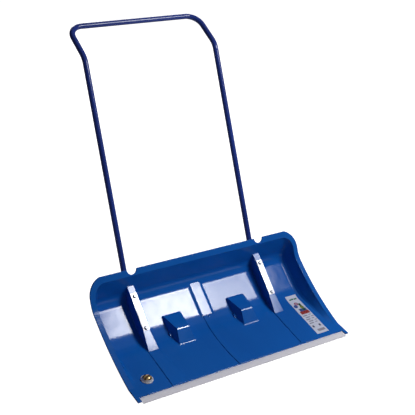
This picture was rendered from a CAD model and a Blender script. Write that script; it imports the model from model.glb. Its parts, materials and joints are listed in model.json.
"""Looks of the wheeled snow pusher: materials, printed trim, studio light and camera."""

import json
import math

import bpy
from mathutils import Matrix, Vector


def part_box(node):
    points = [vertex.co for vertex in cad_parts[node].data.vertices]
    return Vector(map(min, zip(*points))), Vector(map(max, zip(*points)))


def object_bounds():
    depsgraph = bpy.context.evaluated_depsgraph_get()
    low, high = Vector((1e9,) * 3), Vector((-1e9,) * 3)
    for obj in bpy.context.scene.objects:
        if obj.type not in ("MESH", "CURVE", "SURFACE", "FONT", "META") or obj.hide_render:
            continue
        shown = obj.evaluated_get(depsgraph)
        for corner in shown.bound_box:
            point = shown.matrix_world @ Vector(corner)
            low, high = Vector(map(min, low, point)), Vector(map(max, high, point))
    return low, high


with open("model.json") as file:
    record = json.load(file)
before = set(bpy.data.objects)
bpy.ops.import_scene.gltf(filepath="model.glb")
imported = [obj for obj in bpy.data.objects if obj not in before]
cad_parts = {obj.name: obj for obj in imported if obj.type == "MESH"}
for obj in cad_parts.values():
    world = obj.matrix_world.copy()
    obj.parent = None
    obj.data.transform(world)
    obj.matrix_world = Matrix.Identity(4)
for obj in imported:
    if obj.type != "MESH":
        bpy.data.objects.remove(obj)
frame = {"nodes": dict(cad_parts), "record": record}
CAD_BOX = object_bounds()

# Colours, linear RGB.
BLADE_BLUE = (0.007, 0.138, 0.545)
BLADE_DEEP = (0.006, 0.120, 0.490)
TUBE_BLUE = (0.020, 0.052, 0.310)
TUBE_DEEP = (0.016, 0.040, 0.250)
ZINC_LIGHT = (0.56, 0.57, 0.60)
ZINC_DARK = (0.48, 0.49, 0.53)
BOLT_LIGHT = (0.40, 0.41, 0.45)
BOLT_DARK = (0.24, 0.25, 0.29)
STEEL_LIGHT = (0.66, 0.66, 0.68)
STEEL_DARK = (0.42, 0.42, 0.45)
ALUMINIUM_LIGHT = (0.95, 0.94, 0.97)
ALUMINIUM_DARK = (0.86, 0.86, 0.92)
BLACK_LIGHT = (0.045, 0.045, 0.048)
BLACK_DARK = (0.018, 0.018, 0.020)
FILM_WHITE = (0.72, 0.76, 0.88)
FILM_GREY = (0.64, 0.68, 0.80)
GOLD_LIGHT = (0.78, 0.56, 0.25)
GOLD_DARK = (0.16, 0.10, 0.045)
SILVER = (0.86, 0.87, 0.88)
FLOOR_TONE = (0.50, 0.50, 0.50)
FLOOR_SHADE = (0.48, 0.48, 0.48)

# The room's colours with alpha: what the camera sees, and what lights the object.
ROOM_PALE = (0.93, 0.93, 0.95, 1)
ROOM_DIM = (0.85, 0.68, 1.0, 1)

# Inks of the label, linear RGB.
INK_GREEN = (0.04, 0.20, 0.14)
INK_NAVY = (0.05, 0.10, 0.34)
INK_BLUE = (0.06, 0.10, 0.30)
INK_RED = (0.34, 0.05, 0.10)
INK_PINK = (0.44, 0.34, 0.46)
INK_PINE = (0.03, 0.10, 0.06)
INK_OLIVE = (0.20, 0.26, 0.05)
INK_BAND = (0.34, 0.04, 0.03)
INK_LINE = (0.25, 0.27, 0.38)
INK_PALE_LINE = (0.30, 0.32, 0.44)
INK_SQUARE = (0.05, 0.06, 0.14)
INK_FOOT = (0.32, 0.31, 0.38)

# Strengths: the floor's glow for the camera, its glow for the object, and the dim room's light.
FLOOR_GLOW = 1.05
FLOOR_BOUNCE = 0.06
ROOM_LIGHT = 0.055

# Shape of the label, in metres: half-widths, and how far its back end lies to the right.
LABEL_FRONT_HALF = 0.0246
LABEL_BACK_HALF = 0.0226
LABEL_LEAN = 0.0105


# ---- node trees


class Finish:
    """A material and short calls that add nodes to it. Patterns lie in the row frame, in metres."""

    def __init__(self, name):
        self.material = bpy.data.materials.new(name)
        self.material.use_nodes = True
        self.tree = self.material.node_tree
        self.shader = self.tree.nodes["Principled BSDF"]
        self.place = self.tree.nodes.new("ShaderNodeTexCoord").outputs["Object"]

    def set(self, **values):
        """Sets plain values on the shader's own sockets."""
        for name, value in values.items():
            self.shader.inputs[name.replace("_", " ")].default_value = value

    def into(self, socket, source):
        self.tree.links.new(source, self.shader.inputs[socket])

    def feed(self, socket, value):
        """Links a socket if value is another socket, and sets it if value is a constant."""
        if isinstance(value, bpy.types.NodeSocket):
            self.tree.links.new(value, socket)
        elif isinstance(value, (tuple, list)) and len(value) == 3 and socket.type == "RGBA":
            socket.default_value = (*value, 1.0)
        else:
            socket.default_value = value

    def stretched(self, stretch):
        """The place, scaled by a different amount along each axis."""
        node = self.tree.nodes.new("ShaderNodeMapping")
        self.feed(node.inputs["Vector"], self.place)
        node.inputs["Scale"].default_value = stretch
        return node.outputs["Vector"]

    def noise(self, scale, detail=2.0, stretch=(1, 1, 1)):
        node = self.tree.nodes.new("ShaderNodeTexNoise")
        self.feed(node.inputs["Vector"], self.stretched(stretch))
        node.inputs["Scale"].default_value = scale
        node.inputs["Detail"].default_value = detail
        return node.outputs["Fac"]

    def spread(self, value, low, high, source=(0.35, 0.65)):
        """value moved from the source range to low..high, and clamped."""
        node = self.tree.nodes.new("ShaderNodeMapRange")
        self.feed(node.inputs["Value"], value)
        node.inputs["From Min"].default_value = source[0]
        node.inputs["From Max"].default_value = source[1]
        node.inputs["To Min"].default_value = low
        node.inputs["To Max"].default_value = high
        return node.outputs["Result"]

    def mix(self, amount, first, second):
        """A colour between first and second."""
        node = self.tree.nodes.new("ShaderNodeMix")
        node.data_type = "RGBA"
        self.feed(node.inputs["Factor"], amount)
        first_colour, second_colour = [s for s in node.inputs if s.type == "RGBA"]
        self.feed(first_colour, first)
        self.feed(second_colour, second)
        return next(s for s in node.outputs if s.type == "RGBA")

    def math(self, operation, first, second=0.0):
        node = self.tree.nodes.new("ShaderNodeMath")
        node.operation = operation
        self.feed(node.inputs[0], first)
        self.feed(node.inputs[1], second)
        return node.outputs[0]

    def axis(self, name):
        """One coordinate of the place, in metres."""
        node = self.tree.nodes.new("ShaderNodeSeparateXYZ")
        self.feed(node.inputs[0], self.place)
        return node.outputs[name]

    def between(self, value, low, high):
        """1 where low < value < high, else 0."""
        above = self.math("GREATER_THAN", value, low)
        below = self.math("LESS_THAN", value, high)
        return self.math("MULTIPLY", above, below)

    def bump(self, heights, rounding=0.0):
        """Relief from (height socket, depth in metres) pairs, over edges rounded by that radius."""
        normal = None
        if rounding:
            node = self.tree.nodes.new("ShaderNodeBevel")
            node.samples = 6
            node.inputs["Radius"].default_value = rounding
            normal = node.outputs["Normal"]
        for height, depth in heights:
            node = self.tree.nodes.new("ShaderNodeBump")
            node.inputs["Strength"].default_value = 1.0
            node.inputs["Distance"].default_value = depth
            self.feed(node.inputs["Height"], height)
            if normal is not None:
                self.feed(node.inputs["Normal"], normal)
            normal = node.outputs["Normal"]
        self.into("Normal", normal)


# ---- materials


def moulded_plastic():
    """Glossy moulded polyethylene: faint flow streaks, soft waviness and a fine skin texture."""
    f = Finish("blade_plastic")
    flow = f.noise(5.0, 3.0, (1.0, 0.35, 0.35))
    f.into("Base Color", f.mix(f.spread(flow, 0.0, 1.0), BLADE_BLUE, BLADE_DEEP))
    f.into("Roughness", f.spread(f.noise(40.0, 4.0), 0.09, 0.15))
    f.bump([(f.noise(14.0, 1.0), 0.00012), (f.noise(900.0, 2.0), 0.00001)], rounding=0.0022)
    f.set(IOR=1.5)
    return f.material


def powder_coat():
    """Glossy paint on tube with a slight orange-peel surface."""
    f = Finish("tube_paint")
    tone = f.noise(9.0, 3.0)
    f.into("Base Color", f.mix(f.spread(tone, 0.0, 1.0), TUBE_BLUE, TUBE_DEEP))
    f.into("Roughness", f.spread(f.noise(120.0, 3.0), 0.16, 0.26))
    f.bump([(f.noise(700.0, 1.0), 0.00004)])
    f.set(IOR=1.5)
    return f.material


def metal(name, light, dark, rough, stretch, depth=0.00002, rounding=0.0006, bare=1.0):
    """Metal whose fine lines run along the axis with the smallest stretch.

    bare is 1 for clean metal, and less where an oxide skin scatters part of the light.
    """
    f = Finish(name)
    grain = f.noise(60.0, 6.0, stretch)
    cloud = f.noise(18.0, 2.0)
    tone = f.mix(f.spread(cloud, 0.0, 0.5), light, dark)
    f.into("Base Color", f.mix(f.spread(grain, 0.0, 0.35), tone, dark))
    f.into("Roughness", f.spread(grain, rough * 0.8, rough * 1.25))
    f.bump([(grain, depth)], rounding=rounding)
    f.set(Metallic=bare)
    return f.material


def black_plastic():
    """Black moulded nylon with a satin, slightly mottled surface."""
    f = Finish("black_plastic")
    tone = f.noise(50.0, 4.0)
    f.into("Base Color", f.mix(f.spread(tone, 0.0, 1.0), BLACK_DARK, BLACK_LIGHT))
    f.into("Roughness", f.spread(tone, 0.42, 0.58))
    f.bump([(f.noise(600.0, 3.0), 0.00005)], rounding=0.0008)
    return f.material


def printed_film():
    """Off-white vinyl label with plain printed shapes, and no lettering.

    across runs from 0 at its left edge to 1 at its right, and along from 0 at its front to 1.
    """
    f = Finish("label_film")
    low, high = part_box("label")
    length = high.y - low.y
    along = f.math("DIVIDE", f.math("SUBTRACT", f.axis("Y"), low.y), length)
    middle = f.math("ADD", f.math("MULTIPLY", along, LABEL_LEAN), low.x + LABEL_FRONT_HALF)
    taper = LABEL_BACK_HALF - LABEL_FRONT_HALF
    half = f.math("ADD", f.math("MULTIPLY", along, taper), LABEL_FRONT_HALF)
    aside = f.math("DIVIDE", f.math("SUBTRACT", f.axis("X"), middle), half)
    across = f.math("ADD", f.math("MULTIPLY", aside, 0.5), 0.5)
    width = LABEL_FRONT_HALF + LABEL_BACK_HALF
    fibre = f.noise(300.0, 3.0)
    colour = f.mix(f.spread(fibre, 0.0, 1.0), FILM_WHITE, FILM_GREY)

    def patch(colour, ink, x0, x1, y0, y1):
        inside = f.math("MULTIPLY", f.between(across, x0, x1), f.between(along, y0, y1))
        return f.mix(inside, colour, ink)

    def disc(colour, ink, x, y, radius):
        dx = f.math("MULTIPLY", f.math("SUBTRACT", across, x), width)
        dy = f.math("MULTIPLY", f.math("SUBTRACT", along, y), length)
        squares = f.math("ADD", f.math("MULTIPLY", dx, dx), f.math("MULTIPLY", dy, dy))
        return f.mix(f.math("LESS_THAN", squares, radius * radius), colour, ink)

    # green mark at the back
    colour = disc(colour, INK_GREEN, 0.24, 0.915, 0.0035)
    colour = patch(colour, INK_GREEN, 0.32, 0.56, 0.905, 0.935)
    colour = patch(colour, INK_GREEN, 0.60, 0.86, 0.900, 0.930)
    # small picture over a red band
    colour = disc(colour, INK_NAVY, 0.24, 0.735, 0.008)
    colour = patch(colour, INK_BLUE, 0.26, 0.88, 0.585, 0.66)
    colour = disc(colour, INK_RED, 0.44, 0.795, 0.0075)
    colour = disc(colour, INK_PINK, 0.44, 0.795, 0.0045)
    colour = patch(colour, INK_PINE, 0.58, 0.78, 0.60, 0.79)
    colour = disc(colour, INK_OLIVE, 0.68, 0.69, 0.0075)
    colour = patch(colour, INK_BAND, 0.16, 0.94, 0.515, 0.590)
    # rows of grey marks
    for index, row in enumerate([0.46, 0.41, 0.36, 0.31, 0.26]):
        shift = 0.10 * (index % 2)
        colour = patch(colour, INK_LINE, 0.12 + shift, 0.48 + shift, row, row + 0.022)
        colour = patch(colour, INK_PALE_LINE, 0.64 + shift, 0.84 + shift, row + 0.01, row + 0.028)
    # two squares and a grey bar at the front
    for x in (0.12, 0.68):
        colour = patch(colour, INK_SQUARE, x, x + 0.15, 0.16, 0.21)
    colour = patch(colour, INK_FOOT, 0.26, 0.88, 0.05, 0.105)
    f.into("Base Color", colour)
    f.into("Roughness", f.spread(fibre, 0.22, 0.34))
    f.bump([(fibre, 0.00002)])
    return f.material


def domed_badge():
    """Round metallised badge: a silver rim, and slanting gold bars across its dome."""
    rim_start = 0.74
    bar_slope = -0.35
    bar_waves = 520.0
    f = Finish("badge_metal")
    low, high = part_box("badge")
    middle = (low + high) / 2
    radius = (high.x - low.x) / 2
    dx = f.math("SUBTRACT", f.axis("X"), middle.x)
    dy = f.math("SUBTRACT", f.axis("Y"), middle.y)
    squares = f.math("ADD", f.math("MULTIPLY", dx, dx), f.math("MULTIPLY", dy, dy))
    distance = f.math("DIVIDE", f.math("SQRT", squares), radius)
    slant = f.math("ADD", dy, f.math("MULTIPLY", dx, bar_slope))
    bars = f.math("SINE", f.math("MULTIPLY", slant, bar_waves))
    gold = f.mix(f.spread(bars, 0.0, 1.0, (-0.4, 0.4)), GOLD_DARK, GOLD_LIGHT)
    tarnish = f.mix(f.spread(f.noise(220.0, 3.0), 0.0, 0.4), gold, GOLD_DARK)
    f.into("Base Color", f.mix(f.math("GREATER_THAN", distance, rim_start), tarnish, SILVER))
    f.into("Roughness", f.spread(f.noise(150.0, 2.0), 0.12, 0.22))
    f.bump([(bars, 0.0002)], rounding=0.0008)
    f.set(Metallic=0.35)
    return f.material


def paint_nodes():
    """Gives every CAD node its finish."""
    zinc = metal("zinc_plate", ZINC_LIGHT, ZINC_DARK, rough=0.42, stretch=(1.0, 0.2, 0.2),
                 depth=0.00001)
    bright = metal("bright_bolts", BOLT_LIGHT, BOLT_DARK, rough=0.30, stretch=(1.0, 1.0, 1.0),
                   rounding=0.0009)
    steel = metal("plain_steel", STEEL_LIGHT, STEEL_DARK, rough=0.28, stretch=(0.1, 1.0, 1.0))
    aluminium = metal("strip_aluminium", ALUMINIUM_LIGHT, ALUMINIUM_DARK, rough=0.50,
                      stretch=(0.02, 1.0, 1.0), bare=0.2)
    black = black_plastic()
    finishes = {
        "blade": moulded_plastic(),
        "tube": powder_coat(),
        "plug": black,
        "strap": zinc,
        "bolt": bright,
        "washer": zinc,
        "nut": zinc,
        "saddle": black,
        "wheel": black,
        "axle": steel,
        "strip": aluminium,
        "rivet": steel,
        "label": printed_film(),
        "badge": domed_badge(),
    }
    slots = {part["node"]: part["material_slot"] for part in frame["record"]["subparts"]}
    for name, node in frame["nodes"].items():
        node.data.materials[0] = finishes[slots[name]]


# ---- studio


def aimed(place, aim):
    """The matrix of a light at place that shines towards aim."""
    turn = (Vector(aim) - Vector(place)).to_track_quat("-Z", "Y").to_matrix().to_4x4()
    return Matrix.Translation(place) @ turn


def softbox(name, matrix, size, power, tint=(1, 1, 1)):
    """A rectangular area light that the camera doesn't see."""
    data = bpy.data.lights.new(name, "AREA")
    data.shape = "RECTANGLE"
    data.size = size[0]
    data.size_y = size[1]
    data.energy = power
    data.color = tint
    light = bpy.data.objects.new(name, data)
    light.matrix_world = matrix
    light.visible_camera = False
    bpy.context.scene.collection.objects.link(light)


def floor():
    """A wide pale floor that the pusher stands on; it looks brighter than the light it gives."""
    reach = 14.0
    mesh = bpy.data.meshes.new("studio_floor")
    corners = [(-reach, -reach, 0), (reach, -reach, 0), (reach, reach, 0), (-reach, reach, 0)]
    mesh.from_pydata(corners, [], [(0, 1, 2, 3)])
    ground = bpy.data.objects.new("studio_floor", mesh)
    ground.location.z = CAD_BOX[0][2] - 0.0005
    bpy.context.scene.collection.objects.link(ground)
    f = Finish("studio_floor")
    f.into("Base Color", f.mix(f.spread(f.noise(3.0), 0.0, 1.0), FLOOR_TONE, FLOOR_SHADE))
    f.set(Roughness=0.9, Emission_Color=(1, 1, 1, 1))
    seen = f.tree.nodes.new("ShaderNodeLightPath").outputs["Is Camera Ray"]
    f.into("Emission Strength", f.spread(seen, FLOOR_BOUNCE, FLOOR_GLOW, (0.0, 1.0)))
    mesh.materials.append(f.material)


def surroundings():
    """A plain room: pale to the camera, and dim enough to leave the blade's side walls dark."""
    world = bpy.data.worlds.new("studio")
    world.use_nodes = True
    tree = world.node_tree
    seen = tree.nodes.new("ShaderNodeLightPath").outputs["Is Camera Ray"]
    dim = tree.nodes["Background"]
    dim.inputs["Color"].default_value = ROOM_DIM
    dim.inputs["Strength"].default_value = ROOM_LIGHT
    pale = tree.nodes.new("ShaderNodeBackground")
    pale.inputs["Color"].default_value = ROOM_PALE
    choice = tree.nodes.new("ShaderNodeMixShader")
    for socket, source in zip(choice.inputs, (seen, dim.outputs[0], pale.outputs[0])):
        tree.links.new(source, socket)
    tree.links.new(choice.outputs[0], tree.nodes["World Output"].inputs["Surface"])
    bpy.context.scene.world = world


def camera():
    """The camera, turned round its own axis by roll after it is aimed."""
    azimuth = math.radians(-36.0)
    elevation = math.radians(25.65)
    roll = math.radians(5.0)
    distance = 3.306
    aim = Vector((0.0884, 0.0178, 0.3518))
    back = Vector(
        (
            math.sin(azimuth) * math.cos(elevation),
            -math.cos(azimuth) * math.cos(elevation),
            math.sin(elevation),
        )
    )
    right = Vector((math.cos(azimuth), math.sin(azimuth), 0))
    up = back.cross(right)
    across = right * math.cos(roll) + up * math.sin(roll)
    upward = up * math.cos(roll) - right * math.sin(roll)
    data = bpy.data.cameras.new("camera")
    data.lens = 85.19
    data.sensor_width = 36.0
    data.clip_end = 60.0
    shooter = bpy.data.objects.new("camera", data)
    turn = Matrix((across, upward, back)).transposed().to_4x4()
    shooter.matrix_world = Matrix.Translation(aim + back * distance) @ turn
    bpy.context.scene.collection.objects.link(shooter)
    bpy.context.scene.camera = shooter


def key_light():
    """The strong softbox. It faces the blade's climb from where the camera sees it mirrored there.

    It is three strips side by side, from one edge to the other, with a power per square metre
    each. The right half of the blade mirrors the right strip, which is the weakest.
    """
    climb = Vector((0.0, -0.110, 0.0855))
    outward = Vector((0.505, -0.355, 0.787)).normalized()
    across = (Vector((1, 0, 0)) - outward * outward.x).normalized()
    upward = outward.cross(across)
    turn = Matrix((across, upward, outward)).transposed().to_4x4()
    away = 2.6
    drop = 0.20
    height = 0.66
    strips = (
        ("key_left", -0.60, -0.36, 54.0),
        ("key_middle", -0.36, 0.02, 78.0),
        ("key_right", 0.02, 0.40, 37.0),
    )
    for name, start, stop, strength in strips:
        width = stop - start
        middle = climb + outward * away + across * (start + stop) / 2 - upward * drop
        power = strength * width * height
        softbox(name, Matrix.Translation(middle) @ turn, (width, height), power, (0.97, 0.98, 1.0))


def studio():
    """The floor, the room and the camera, with the key light, a weak fill and a light behind."""
    floor()
    surroundings()
    key_light()
    softbox("fill", aimed((0.3, -0.3, 3.4), (0, 0, 0.2)), (3.0, 3.0), 4.0)
    softbox("back", aimed((1.1, 2.7, 1.7), (0, 0, 0.3)), (2.0, 1.6), 45.0)
    camera()
    bpy.context.scene.view_settings.view_transform = "Standard"


paint_nodes()
studio()
